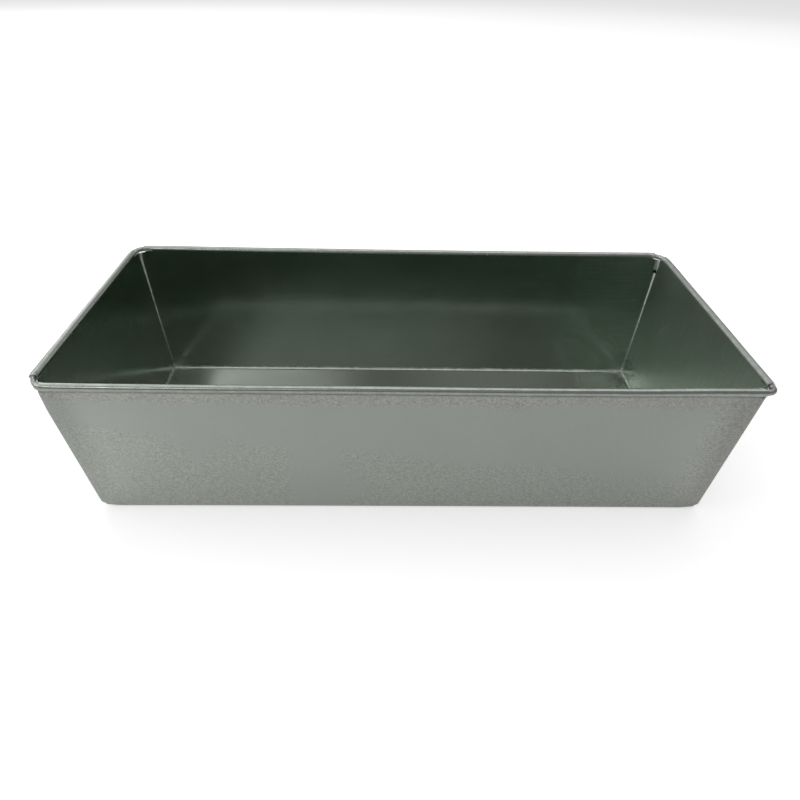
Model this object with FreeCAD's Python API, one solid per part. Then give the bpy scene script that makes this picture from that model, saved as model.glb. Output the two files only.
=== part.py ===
import FreeCAD, Part
import os
from math import cos, degrees, pi, radians, sin, tan

from FreeCAD import Vector

# Ice block pan: one sheet folded up from a flat blank, with folded corners that hold water,
# and one rim wire that the top edge is rolled over.
# Millimetres. X runs along the pan, Y across it, Z up, and the pan stands on z = 0.

rim_length = 305.0            # over the rolled rim
rim_width = 137.2
height = 78.0                 # floor to the top of the roll
wall_lean = radians(4.5)      # every wall flares outward by this much

sheet = 0.4                   # sheet thickness
wire_diameter = 2.6
wire_clearance = 0.05         # between the wire and the roll around it
front_wire_bend = 3.2         # radius of the wire's centreline at the two front corners
back_wire_bend = 4.0
wire_butt_gap = 0.4           # where the wire's two ends meet, inside the back roll

roll_turn = radians(300)      # how far the edge is wrapped round the wire
roll_end_slant = 1.2          # how much further a roll reaches on its outer side
front_roll = (-148.4, 146.2)  # where each roll starts and ends along its side
back_roll = (-147.3, 147.3)
left_roll = (-61.8, 62.8)
right_roll = (-64.0, 63.2)
slit_length = 4.5             # snipped between roll and wall, inward from a roll's end
slit_height = 0.7

base_bend = 1.6               # outer radius where the walls rise from the base
base_corner = 2.0             # outer radius of the base's corners in plan
fold_gap = 0.12               # air between two folded layers
knot_height = 2.5             # the corner folds are pinched into a solid knot below this
knot_foot_z = 0.1
knot_foot_inset = 0.2         # from the flat of the base's underside
knot_reach = (2.0, 3.0)       # how far the knot reaches in, along x and along y
knot_foot_radius = 1.0
corner_bend = (0.9, 2.4)      # outer radius of the long wall's bend, low and high
hem_setback = (0.98, 1.95)    # from the long wall's outer face back to the hem's centre

roll_inside = wire_diameter / 2 + wire_clearance
roll_outside = roll_inside + sheet
wire_z = height - roll_outside
wire_x = rim_length / 2 - roll_outside
wire_y = rim_width / 2 - roll_outside
trim_z = wire_z - roll_outside - 0.3      # walls and ears are cut here, just under the roll
lean = tan(wall_lean)
ear_slope = tan(pi / 4 - 2 * wall_lean)   # the ear's free crease leaves the corner at this slope
base_half_length = wire_x - roll_inside / cos(wall_lean) - wire_z * lean
base_half_width = wire_y - roll_inside / cos(wall_lean) - wire_z * lean


# A segment is two points for a straight edge or three for an arc, and an outline is a closed
# list of segments.

def edge(segment):
    return Part.makeLine(*segment) if len(segment) == 2 else Part.Arc(*segment).toShape()


def wire(outline):
    return Part.Wire([edge(segment) for segment in outline])


def outline_through(curves):
    """Curves in order, joined end to start by straight edges."""
    outline = []
    for curve, following in zip(curves, curves[1:] + curves[:1]):
        outline += [curve, [curve[-1], following[0]]]
    return outline


def side_faces(low, high):
    """The faces between two outlines of the same make, flat wherever the edges are straight."""
    faces = []
    for a, b in zip(low, high):
        if len(a) == 2:
            faces.append(Part.Face(Part.makePolygon([a[0], a[1], b[1], b[0], a[0]])))
        else:
            faces.append(Part.makeRuledSurface(edge(a), edge(b)))
    return faces


def closed_solid(faces):
    solid = Part.makeSolid(Part.makeShell(faces))
    if solid.Volume < 0:
        solid.reverse()
    return solid


def block(low, high):
    return closed_solid(side_faces(low, high) + [Part.Face(wire(low)), Part.Face(wire(high))])


def all_corners(corner_curves, z):
    """One corner's curves, given from the end wall to the long wall, mirrored to all four
    corners at height z and joined along the walls."""
    around = []
    for sign_x, sign_y in ((1, 1), (-1, 1), (-1, -1), (1, -1)):
        corner = [[Vector(sign_x * x, sign_y * y, z) for x, y in curve] for curve in corner_curves]
        if sign_x * sign_y < 0:
            corner = [curve[::-1] for curve in reversed(corner)]
        around += corner
    return outline_through(around)


def quarter_arc(centre_x, centre_y, radius):
    diagonal = radius * cos(pi / 4)
    return [(centre_x + radius, centre_y), (centre_x + diagonal, centre_y + diagonal),
            (centre_x, centre_y + radius)]


def outer_half_sizes(z):
    return base_half_length + z * lean, base_half_width + z * lean


def at_height(low_and_high, z):
    low, high = low_and_high
    return low + (high - low) * (z - knot_height) / (trim_z - knot_height)


def folded_corner(z, inside):
    """One face of the sheet at a corner: the end wall's hem, the ear's free crease and the
    long wall's bend round them. The inside of a fold is pressed flat."""
    end_x, long_y = outer_half_sizes(z)
    ear_x = end_x + 2 * (fold_gap + sheet)
    fold_radius = fold_gap / 2 + sheet

    hem_x, hem_y = end_x + fold_gap / 2, long_y - at_height(hem_setback, z)
    crease_x, crease_y = ear_x - sheet - fold_gap / 2, base_half_width - z * ear_slope
    bend = at_height(corner_bend, z)
    bend_x, bend_y = ear_x - bend, long_y - bend

    def folded(x, y, direction):
        return [(x - fold_radius, y), (x, y + direction * fold_radius), (x + fold_radius, y)]

    def pressed(x, y):
        return [(x - fold_gap / 2, y), (x + fold_gap / 2, y)]

    if inside:
        return [folded(hem_x, hem_y, 1), pressed(crease_x, crease_y),
                quarter_arc(bend_x, bend_y, bend - sheet)]
    return [pressed(hem_x, hem_y), folded(crease_x, crease_y, -1),
            quarter_arc(bend_x, bend_y, bend)]


def folded_walls():
    """Four walls and four double-layer ears, as one band of sheet."""
    outer, inner = [block(*[all_corners(folded_corner(z, inside), z) for z in (knot_height, trim_z)])
                    for inside in (False, True)]
    return outer.cut(inner)


def base_block(inset, bend, corner):
    """The solid foot of the pan up to the corner folds, drawn in by inset from its faces."""
    outlines = []
    for z in (inset, knot_height):
        half_x, half_y = [half - inset / cos(wall_lean) for half in outer_half_sizes(z)]
        radius = corner + (z - inset) * lean
        outlines.append(all_corners([quarter_arc(half_x - radius, half_y - radius, radius)], z))
    foot = block(*outlines)
    bottom_edges = [e for e in foot.Edges if e.BoundBox.ZMax < inset + 0.01]
    return foot.makeFillet(bend, bottom_edges)


def corner_knot():
    """The pinched foot of a folded corner, under the ear's three layers."""
    end_x, long_y = outer_half_sizes(knot_height)
    pressed_hem, crease, bend = folded_corner(knot_height, False)
    ear_x, ear_y = crease[2][0], crease[1][1]
    reach_x, reach_y = knot_reach
    foot_x = base_half_length - base_bend - knot_foot_inset
    foot_y = base_half_width - base_bend - knot_foot_inset
    foot_corner = quarter_arc(foot_x - knot_foot_radius, foot_y - knot_foot_radius, knot_foot_radius)

    def outline(z, inner_x, outer_x, inner_y, outer_y, corner):
        points = [(inner_x, outer_y), (inner_x, inner_y), (outer_x, inner_y)]
        straight = [[Vector(x, y, z)] for x, y in points]
        return outline_through([[Vector(x, y, z) for x, y in corner]] + straight)

    def joined(outline):
        return [segment for segment in outline if len(segment) > 1]

    high = joined(outline(knot_height, end_x - reach_x, ear_x, ear_y, long_y, bend))
    low = joined(outline(knot_foot_z, foot_x - reach_x, foot_x, foot_y - reach_y, foot_y, foot_corner))
    return block(low[::-1], high[::-1])


def folded_base():
    solid = base_block(0, base_bend, base_corner)
    knot = corner_knot()
    for mirrored in ([], [Vector(1, 0, 0)], [Vector(0, 1, 0)], [Vector(1, 0, 0), Vector(0, 1, 0)]):
        foot = knot
        for normal in mirrored:
            foot = foot.mirror(Vector(), normal)
        solid = solid.fuse(foot)
    return solid.cut(base_block(sheet, base_bend - sheet, base_corner - sheet))


def roll_section(centre_out):
    """The wall's top strip and the roll round the wire, drawn in the plane of out and Z,
    for a side whose wire lies centre_out from the pan's middle."""
    centre = Vector(centre_out, 0, wire_z)

    def around(radius, angle):
        turn = angle + wall_lean
        return centre + Vector(-radius * cos(turn), 0, radius * sin(turn))

    def arc(radius, start, end):
        return [around(radius, start), around(radius, (start + end) / 2), around(radius, end)]

    def wall_foot(tangent):
        return [tangent - Vector(lean, 0, 1) * (tangent.z - trim_z)]

    foot_outside, foot_inside = wall_foot(around(roll_inside, 0)), wall_foot(around(roll_outside, 0))
    outline = outline_through([arc(roll_outside, 0, roll_turn), arc(roll_inside, roll_turn, 0),
                               foot_outside, foot_inside])
    return wire([segment for segment in outline if len(segment) > 1])


def rolled_edge(centre_out, span, turn):
    """One side's roll. It is drawn along Y on the +X side, then turned to its own side."""
    start, end = span
    slant = roll_end_slant
    inner, outer = centre_out - 2 * roll_outside, centre_out + 2 * roll_outside
    section = Part.Face(roll_section(centre_out)).translated(Vector(0, start - slant, 0))
    roll = section.extrude(Vector(0, end - start + 2 * slant, 0))
    footprint = Part.makePolygon([Vector(x, y, 0) for x, y in (
        (inner, start + slant), (outer, start - slant), (outer, end + slant), (inner, end - slant),
        (inner, start + slant))])
    roll = roll.common(Part.Face(footprint).extrude(Vector(0, 0, height)))
    for slit_start in (start - slant, end - slit_length):
        roll = roll.cut(Part.makeBox(roll_outside, slit_length + slant, slit_height, Vector(
            centre_out - roll_outside - sheet, slit_start, wire_z - slit_height)))
    roll.rotate(Vector(), Vector(0, 0, 1), turn)
    return roll


def pan_sheet():
    rolls = [
        rolled_edge(wire_x, right_roll, 0),
        rolled_edge(wire_y, (-back_roll[1], -back_roll[0]), 90),
        rolled_edge(wire_x, (-left_roll[1], -left_roll[0]), 180),
        rolled_edge(wire_y, front_roll, -90),
    ]
    return folded_base().fuse([folded_walls()] + rolls).removeSplitter()


def rim_wire():
    """One wire bent to a rounded rectangle, its ends butting in the middle of the back."""
    radius = wire_diameter / 2
    front_x, back_x = wire_x - front_wire_bend, wire_x - back_wire_bend
    front_y, back_y = front_wire_bend - wire_y, wire_y - back_wire_bend

    def run(start_x, start_y, end_x, end_y):
        start, end = Vector(start_x, start_y, wire_z), Vector(end_x, end_y, wire_z)
        return Part.makeCylinder(radius, (end - start).Length, start, end - start)

    def elbow(bend, quarter, x, y):
        piece = Part.makeTorus(bend, radius, Vector(), Vector(0, 0, 1), 0, 360, 90)
        piece.rotate(Vector(), Vector(0, 0, 1), 90 * quarter)
        return piece.translated(Vector(x, y, wire_z))

    pieces = [run(-front_x, -wire_y, front_x, -wire_y)]
    for side in (-1, 1):
        pieces.append(run(side * wire_x, front_y, side * wire_x, back_y))
        pieces.append(run(side * wire_butt_gap / 2, wire_y, side * back_x, wire_y))
    pieces += [elbow(back_wire_bend, 0, back_x, back_y), elbow(back_wire_bend, 1, -back_x, back_y),
               elbow(front_wire_bend, 2, -front_x, front_y), elbow(front_wire_bend, 3, front_x, front_y)]
    return pieces[0].fuse(pieces[1:]).removeSplitter()


os.makedirs("parts", exist_ok=True)
for name, make in (("pan_sheet", pan_sheet), ("rim_wire", rim_wire)):
    shape = make()
    shape = shape.Solids[0] if len(shape.Solids) == 1 else shape
    print(name, "solids", len(shape.Solids), "valid", shape.isValid(), "volume %.0f" % shape.Volume)
    shape.exportStep("parts/%s.step" % name)
print("base %.1f x %.1f, wall lean %.1f degrees" % (
    2 * base_half_length, 2 * base_half_width, degrees(wall_lean)))
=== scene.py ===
from math import cos, pi, radians, sin, tan

import bmesh
import bpy
from mathutils import Matrix, Vector, noise


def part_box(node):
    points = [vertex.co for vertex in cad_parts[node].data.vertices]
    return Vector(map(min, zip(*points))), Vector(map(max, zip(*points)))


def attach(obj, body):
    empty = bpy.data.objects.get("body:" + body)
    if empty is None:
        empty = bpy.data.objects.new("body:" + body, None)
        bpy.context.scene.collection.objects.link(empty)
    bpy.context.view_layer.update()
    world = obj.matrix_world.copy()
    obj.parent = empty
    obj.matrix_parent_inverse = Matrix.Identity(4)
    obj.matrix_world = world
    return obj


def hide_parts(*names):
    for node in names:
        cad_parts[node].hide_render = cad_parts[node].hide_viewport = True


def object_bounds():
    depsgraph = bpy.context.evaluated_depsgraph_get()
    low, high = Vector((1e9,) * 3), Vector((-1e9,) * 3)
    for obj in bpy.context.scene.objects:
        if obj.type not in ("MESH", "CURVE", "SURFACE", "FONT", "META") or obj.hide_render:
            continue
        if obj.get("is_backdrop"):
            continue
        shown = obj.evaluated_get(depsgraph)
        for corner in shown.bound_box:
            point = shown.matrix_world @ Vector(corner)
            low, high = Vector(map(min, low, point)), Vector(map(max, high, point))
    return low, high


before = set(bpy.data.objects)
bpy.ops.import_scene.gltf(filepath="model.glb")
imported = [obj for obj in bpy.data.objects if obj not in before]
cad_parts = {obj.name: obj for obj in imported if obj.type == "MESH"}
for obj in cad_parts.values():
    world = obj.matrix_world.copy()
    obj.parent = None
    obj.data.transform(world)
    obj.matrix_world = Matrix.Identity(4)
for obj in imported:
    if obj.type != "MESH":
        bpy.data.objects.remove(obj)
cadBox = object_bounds()

mm = 0.001
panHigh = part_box("pan_sheet")[1]

# Sizes of the folded sheet. The outline over the rim comes from the frame.
pan = {
    "sheet": 0.4 * mm,
    "lean": radians(4.5),
    "baseBend": 1.6 * mm,  # outer radius where the walls rise
    "baseCorner": 1.3 * mm,  # plan radius at the foot of a corner
    "knotTop": 3.4 * mm,  # the corner fold is fully formed above this
    "foldGap": 0.12 * mm,
    "earSlope": tan(radians(36)),  # how steeply the ears' creases lean inward
    "cornerBend": (1.0 * mm, 2.6 * mm),  # long wall's bend at the corner, low and high
    "hemSetback": (0.98 * mm, 1.95 * mm),  # long wall's face to the middle of the hem, low and high
    "earTop": 74.2 * mm,  # ears are cut here, just under the rolls
    "cornerTop": 74.5 * mm,  # and here at the corners, under the bare wire
    "frontDrop": 1.0 * mm,  # and lower still at the front
    "hemTop": 75.6 * mm,
    "wallTop": 75.0 * mm,  # where a long wall's cut edge leaves the corner
    "slitLow": 75.7 * mm,  # a wall's own cut edge under the free ends of its roll
    "cornerLength": 4.5 * mm,  # an ear's top comes down from the corner within this
    "bendSteps": 6,
    "knotSteps": 4,
    "wallSteps": 22,
    "wallEasing": 1.2,
    "nickClear": 0.5 * mm,
    "nickRows": (66.6 * mm, 66.9 * mm, 68.2 * mm, 68.5 * mm),  # fine rows across the nick in a hem
    "foldSteps": 6,
    "earSteps": 7,
    "columnGap": 4.0 * mm,
    "columnsNearCorner": (0.9 * mm, 1.9 * mm, 3.0 * mm),
    "columnsNearSlit": (1.4 * mm, 3.2 * mm, 5.5 * mm, 8.4 * mm),
    "columnClear": 0.4 * mm,
}

# The rolled edge. Spans run counter-clockwise seen from above, from the roll's start to its end.
roll = {
    "inside": 1.35 * mm,
    "turn": radians(300),
    "steps": 26,
    "slit": 4.5 * mm,
    "slants": {"right": 0.0, "back": 1.0 * mm, "left": -0.1 * mm, "front": 1.5 * mm},
    "lipCut": 1.2 * mm,  # the lip's ends are cut back by this much
    "lipFrom": 0.6,  # the lip is the roll beyond this share of its turn
    "flare": 0.55 * mm,  # and its mouths stand open on the cavity's side
    "spans": {
        "right": (-62.6 * mm, 62.4 * mm),
        "back": (-147.0 * mm, 147.0 * mm),
        "left": (-61.9 * mm, 60.5 * mm),
        "front": (-146.7 * mm, 145.6 * mm),
    },
    "freeColumns": (0, 1.0 * mm, 2.1 * mm, 3.3 * mm),  # from each end to the slit
    "dentDepth": 0.10 * mm,
    "dentSize": 9.0 * mm,
    "seed": 4.0,
}

# How worn the metal is, with painted light: over 0 rubbed bright with a painted highlight, under 0 worked
# dull, and at the nick painted dark for its shade.
wearAndPaintedLightBy = {
    "roll": -1.0,
    "foot": 0.32,  # where the walls rise: a painted highlight along the bend at the foot
    "hem": 1.0,
    "hemEdge": 0.3,
    "bend": 0.7,
    "nick": -3.0,
    "besideNick": 0.2,
}

sharpAngle = radians(50)
sheet = pan["sheet"]
lean = pan["lean"]
rollMiddle = roll["inside"] + sheet / 2
rollOutside = roll["inside"] + sheet
wireZ = panHigh.z - rollOutside
wireX = panHigh.x - rollOutside
wireY = panHigh.y - rollOutside
baseX = wireX - roll["inside"] / cos(lean) - wireZ * tan(lean)
baseY = wireY - roll["inside"] / cos(lean) - wireZ * tan(lean)
seamZ = wireZ + rollMiddle * sin(lean)  # where a wall runs into its roll
bendRadius = pan["baseBend"] - sheet / 2
bendTop = pan["baseBend"] - bendRadius * cos(pi / 2 - lean)

# Each side: its outward direction, and how far out its wire lies.
sides = {
    "right": (Vector((1, 0, 0)), wireX),
    "back": (Vector((0, 1, 0)), wireY),
    "left": (Vector((-1, 0, 0)), wireX),
    "front": (Vector((0, -1, 0)), wireY),
}
sideNames = list(sides)

# The signs of X and Y at each corner. A corner follows the side of the same number.
cornerSigns = ((1, 1), (-1, 1), (-1, -1), (1, -1))


def along(side):
    out = sides[side][0]
    return Vector((-out.y, out.x, 0))


def smooth(x):
    x = min(max(x, 0), 1)
    return x * x * (3 - 2 * x)


def between(lowAndHigh, z):
    low, high = lowAndHigh
    return low + (high - low) * min(max(z / pan["earTop"], 0), 1)


def arcPoints(centre, radius, start, turn, steps):
    angles = [start + turn * i / steps for i in range(steps + 1)]
    return [(centre[0] + radius * cos(a), centre[1] + radius * sin(a)) for a in angles]


def line(a, b, steps):
    return [(a[0] + (b[0] - a[0]) * i / steps, a[1] + (b[1] - a[1]) * i / steps) for i in range(1, steps)]


def foldedCorner(z):
    # One corner's middle surface from the end wall to the long wall: hem, ear, crease, ear, bend.
    endX = baseX + z * tan(lean)
    longY = baseY + z * tan(lean)
    gap = pan["foldGap"]
    fold = (gap + sheet) / 2
    hem = (endX + gap / 2, longY - between(pan["hemSetback"], z))
    crease = (hem[0] + gap + sheet, min(baseY - z * pan["earSlope"], hem[1] - 0.05 * mm))
    bend = between(pan["cornerBend"], z)
    earX = endX + 2 * (gap + sheet)
    steps = pan["foldSteps"]
    hemArc = arcPoints(hem, fold, pi, -pi, steps)
    creaseArc = arcPoints(crease, fold, pi, pi, steps)
    bendArc = arcPoints((earX - bend, longY - bend), bend - sheet / 2, 0, pi / 2, steps + 2)
    inner = line(hemArc[-1], creaseArc[0], pan["earSteps"])
    outer = line(creaseArc[-1], bendArc[0], pan["earSteps"])
    return hemArc + inner + creaseArc + outer + bendArc


def roundedCorner(halfX, halfY, radius, count):
    return arcPoints((halfX - radius, halfY - radius), radius, 0, pi / 2, count - 1)


cornerCount = len(foldedCorner(pan["earTop"]))
bendStart = cornerCount - pan["foldSteps"] - 3


def fromHem(owner):
    # A corner point's number counted from its hem.
    return cornerCount - 1 - owner[2] if owner[1] % 2 else owner[2]


def bendShare(k):
    # How far round the long wall's bend a corner point is, from 0 at its start to 1 on the wall.
    return smooth((k - bendStart) / (cornerCount - 1 - bendStart))


def wallHeights():
    # The rows' heights from the top of the knots to the ears' cut edge.
    span = pan["earTop"] - pan["knotTop"]
    steps = pan["wallSteps"]
    even = [pan["knotTop"] + span * (i / steps) ** pan["wallEasing"] for i in range(1, steps + 1)]
    clear = [z for z in even if all(abs(z - nick) > pan["nickClear"] for nick in pan["nickRows"])]
    return sorted(clear + list(pan["nickRows"]))


wallRows = wallHeights()


def rowShape(row):
    # Height, how far the wall stands in from its outer face's line, how much of the fold is
    # formed, and the length of sheet from the floor's edge up to here.
    if row <= pan["bendSteps"]:
        a = (pi / 2 - lean) * row / pan["bendSteps"]
        z = pan["baseBend"] - bendRadius * cos(a)
        wall = bendTop * tan(lean) - (sheet / 2) / cos(lean)
        return z, wall - bendRadius * (sin(pi / 2 - lean) - sin(a)), 0, bendRadius * a
    if row <= pan["bendSteps"] + pan["knotSteps"]:
        z = bendTop + (pan["knotTop"] - bendTop) * (row - pan["bendSteps"]) / pan["knotSteps"]
    else:
        z = wallRows[row - pan["bendSteps"] - pan["knotSteps"] - 1]
    formed = smooth((z - bendTop) / (pan["knotTop"] - bendTop))
    length = bendRadius * (pi / 2 - lean) + (z - bendTop) / cos(lean)
    return z, z * tan(lean) - (sheet / 2) / cos(lean), formed, length


rowCount = pan["bendSteps"] + pan["knotSteps"] + len(wallRows) + 1


def cornerAt(row):
    z, reach, formed = rowShape(row)[:3]
    plain = roundedCorner(baseX + reach, baseY + reach, pan["baseCorner"], cornerCount)
    if formed == 0:
        return plain
    folded = foldedCorner(z)
    return [(a[0] + (b[0] - a[0]) * formed, a[1] + (b[1] - a[1]) * formed) for a, b in zip(plain, folded)]


def allCorners(row):
    # Corner curves counter-clockwise, the one that follows each side in turn.
    z = rowShape(row)[0]
    curve = cornerAt(row)
    corners = []
    for signX, signY in cornerSigns:
        points = [Vector((signX * x, signY * y, z)) for x, y in curve]
        corners.append(points if signX * signY > 0 else points[::-1])
    return corners


def sideColumns(side):
    # Places of the wall's columns along its top, close together near the corners and at the slits.
    corners = allCorners(rowCount - 1)
    i = sideNames.index(side)
    direction = along(side)
    first = corners[i - 1][-1].dot(direction)
    last = corners[i][0].dot(direction)
    start, end = roll["spans"][side]
    marks = [start + roll["slit"], end - roll["slit"]]
    near, clear = pan["columnsNearCorner"], pan["columnClear"]
    lowPart = [first + d for d in near if first + d < marks[0] - clear]
    highPart = [last - d for d in reversed(near) if last - d > marks[1] + clear]
    while len(lowPart) < len(near):
        lowPart.append((([first] + lowPart)[-1] + marks[0]) / 2)
    while len(highPart) < len(near):
        highPart.insert(0, ((highPart + [last])[0] + marks[1]) / 2)
    easing = pan["columnsNearSlit"]
    low, high = marks[0] + easing[-1], marks[1] - easing[-1]
    length = 2 * (panHigh.x if side in ("front", "back") else panHigh.y)
    count = round(length / pan["columnGap"])
    middle = [low + (high - low) * k / count for k in range(count + 1)]
    eased = [marks[0] + d for d in easing[:-1]], [marks[1] - d for d in reversed(easing[:-1])]
    return lowPart + [marks[0]] + eased[0] + middle + eased[1] + [marks[1]] + highPart


columns = {side: sideColumns(side) for side in sides}


def outline(row):
    # All points of the sheet's middle surface round one row, and which corner or side each is on.
    corners = allCorners(row)
    top = allCorners(rowCount - 1)
    z = corners[0][0].z
    points = []
    owners = []
    for i, side in enumerate(sideNames):
        direction = along(side)
        a, b = corners[i - 1][-1], corners[i][0]
        topA, topB = top[i - 1][-1].dot(direction), top[i][0].dot(direction)
        for k, place in enumerate(columns[side]):
            share = (place - topA) / (topB - topA)
            points.append(Vector((a.x + (b.x - a.x) * share, a.y + (b.y - a.y) * share, z)))
            owners.append((side, k))
        points += corners[i]
        owners += [("corner", i, k) for k in range(cornerCount)]
    return points, owners


def cornerRises(i):
    # How far each point of a corner's top edge stands over the ears' level.
    curve = allCorners(rowCount - 1)[i]
    if i % 2:
        curve = curve[::-1]
    bendY, hemY = abs(curve[-1].y), abs(curve[0].y)
    cornerTop = pan["cornerTop"] - (pan["frontDrop"] if curve[0].y < 0 else 0)
    farY = min(bendY, hemY + pan["cornerLength"] / 3)
    rises = []
    for k, point in enumerate(curve):
        share = smooth(1 - (farY - abs(point.y)) / pan["cornerLength"])
        level = pan["hemTop"] if k <= pan["foldSteps"] + 1 else cornerTop
        level += (pan["wallTop"] - cornerTop) * bendShare(k)
        rises.append((level - pan["earTop"]) * share)
    return rises[::-1] if i % 2 else rises


def riseAt(side, k):
    # A wall's cut edge climbs from the corner's level to the slit's within its first few columns.
    edge = min(k, len(columns[side]) - 1 - k)
    corner = (pan["wallTop"] if side in ("front", "back") else pan["hemTop"]) - pan["earTop"]
    return corner + (pan["slitLow"] - pan["earTop"] - corner) * smooth((edge + 1) / 3)


def blankPlace(point, owner, length):
    # Where a point of the folded sheet lies on the flat blank, and which way the blank's X runs there.
    if owner[0] != "corner":
        out = sides[owner[0]][0]
        half = baseX if owner[0] in ("left", "right") else baseY
        place = along(owner[0]) * point.dot(along(owner[0])) + out * (half + length)
        grain = Vector((0, 0, cos(lean))) + out * sin(lean) if half == baseX else Vector((1, 0, 0))
        return place, grain
    signX, signY = cornerSigns[owner[1]]
    k = fromHem(owner)
    bent = bendShare(k)
    if k < pan["foldSteps"] * 1.5 + pan["earSteps"]:
        return (Vector((signX * (baseX + length), point.y, 0)),
                Vector((signX * sin(lean), 0, cos(lean))))
    beyond = max(baseY + point.z * tan(lean) - abs(point.y), 0)
    return (Vector((signX * (abs(point.x) + beyond), signY * (baseY + length), 0)),
            Vector((bent, bent - 1, 0)).normalized())


def wearAndPaintedLightAt(owner, foot, z):
    # Folded and bent metal is rubbed bright and given a painted highlight, most of all on the hems. One hem
    # is flattened, with a painted highlight above a nick painted dark for its shade.
    if owner[0] != "corner":
        return wearAndPaintedLightBy["foot"] * foot
    k = fromHem(owner)
    nickLow, nickHigh = pan["nickRows"][0] + 0.1 * mm, pan["nickRows"][3] - 0.1 * mm
    if owner[1] == 0 and nickLow < z < nickHigh:
        return wearAndPaintedLightBy["nick"]
    if owner[1] == 0 and z > nickHigh:
        return wearAndPaintedLightBy["hem"] if k <= pan["foldSteps"] else wearAndPaintedLightBy["besideNick"]
    if k <= pan["foldSteps"] // 2:
        return wearAndPaintedLightBy["hem"] if k else wearAndPaintedLightBy["hemEdge"]
    if cornerCount - pan["foldSteps"] - 1 <= k < cornerCount - 2:
        return wearAndPaintedLightBy["bend"]
    return 0.0


def buildWalls(mesh):
    blank = mesh.verts.layers.float_vector.new("blank")
    grain = mesh.verts.layers.float_vector.new("grain")
    wearAndPaintedLight = mesh.verts.layers.float.new("wearAndPaintedLight")
    rings = []
    for row in range(rowCount):
        points, owners = outline(row)
        length = rowShape(row)[3]
        foot = (row / pan["bendSteps"]) ** 0.5 if row <= pan["bendSteps"] else 0
        ring = [mesh.verts.new(p) for p in points]
        for vert, owner in zip(ring, owners):
            vert[blank], vert[grain] = blankPlace(vert.co, owner, length)
            vert[wearAndPaintedLight] = wearAndPaintedLightAt(owner, foot, vert.co.z)
        rings.append(ring)
    corners = [cornerRises(i) for i in range(4)]
    for row in range(rowCount - 3, rowCount):
        share = smooth((row - (rowCount - 4)) / 3)
        for vert, owner in zip(rings[row], owners):
            if owner[0] == "corner":
                vert.co.z += corners[owner[1]][owner[2]] * share
                continue
            rise = riseAt(*owner) * share
            out = sides[owner[0]][0]
            vert.co += Vector((0, 0, rise)) + out * rise * tan(lean)
    for low, high in zip(rings, rings[1:]):
        for k in range(len(low)):
            j = (k + 1) % len(low)
            mesh.faces.new((low[k], low[j], high[j], high[k]))
    return rings, owners


def buildSeam(mesh, ring, owners):
    # The strip of wall above the slit level that runs into the roll, between the slits.
    seams = {}
    for side in sideNames:
        start, end = roll["spans"][side]
        out, reach = sides[side]
        direction = along(side)
        wallOut = reach - rollMiddle * cos(lean)
        held = []
        for vert, owner in zip(ring, owners):
            if owner[0] != side:
                continue
            place = columns[side][owner[1]]
            if start + roll["slit"] - 1e-6 <= place <= end - roll["slit"] + 1e-6:
                held.append((vert, place))
        top = []
        for vert, place in held:
            top.append(mesh.verts.new(direction * place + out * wallOut + Vector((0, 0, seamZ)), vert))
        for k in range(len(held) - 1):
            mesh.faces.new((held[k][0], held[k + 1][0], top[k + 1], top[k]))
        seams[side] = [place for v, place in held]
    return seams


def buildFloor(mesh, ring, owners):
    # A grid between the four sides' first rows, with a fan at each corner.
    bySide = {side: [v for v, o in zip(ring, owners) if o[0] == side] for side in sideNames}
    byCorner = [[v for v, o in zip(ring, owners) if o[0] == "corner" and o[1] == i] for i in range(4)]
    front = [byCorner[2][-1]] + bySide["front"] + [byCorner[3][0]]
    back = ([byCorner[0][-1]] + bySide["back"] + [byCorner[1][0]])[::-1]
    right = [byCorner[3][-1]] + bySide["right"] + [byCorner[0][0]]
    left = ([byCorner[1][-1]] + bySide["left"] + [byCorner[2][0]])[::-1]
    z = front[0].co.z
    grid = []
    for j in range(len(right)):
        t = j / (len(right) - 1)
        across = []
        for i in range(len(front)):
            s = i / (len(front) - 1)
            x = front[i].co.x + (back[i].co.x - front[i].co.x) * t
            y = left[j].co.y + (right[j].co.y - left[j].co.y) * s
            vert = mesh.verts.new((x, y, z))
            vert[mesh.verts.layers.float_vector["blank"]] = (x, y, 0)
            vert[mesh.verts.layers.float_vector["grain"]] = (1, 0, 0)
            across.append(vert)
        grid.append(across)
    rows = [[a] + row + [b] for a, row, b in zip(left, grid, right)]
    for low, high in [(front, grid[0]), (grid[-1], back)] + list(zip(rows, rows[1:])):
        for i in range(len(low) - 1):
            mesh.faces.new((low[i], high[i], high[i + 1], low[i + 1]))
    for centre, fan in zip((grid[-1][-1], grid[-1][0], grid[0][0], grid[0][-1]), byCorner):
        for a, b in zip(fan, fan[1:]):
            mesh.faces.new((centre, b, a))


wireShape = {
    "diameter": 2.6 * mm,
    "bends": {"backRight": 4.8 * mm, "frontRight": 3.0 * mm, "frontLeft": 3.6 * mm, "backLeft": 3.6 * mm},
    "cornerSteps": 14,
    "sides": 28,
    "drawMarks": 0.05 * mm,
    "drawMarksPerMetre": 300.0,
    "seed": 2.0,
    "buttGap": 0.4 * mm,  # between the wire's ends, inside the back roll
    "cuts": 6,  # every so many millimetres along X and Y, out to these places
    "cutsTo": (144, 60),
}


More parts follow.
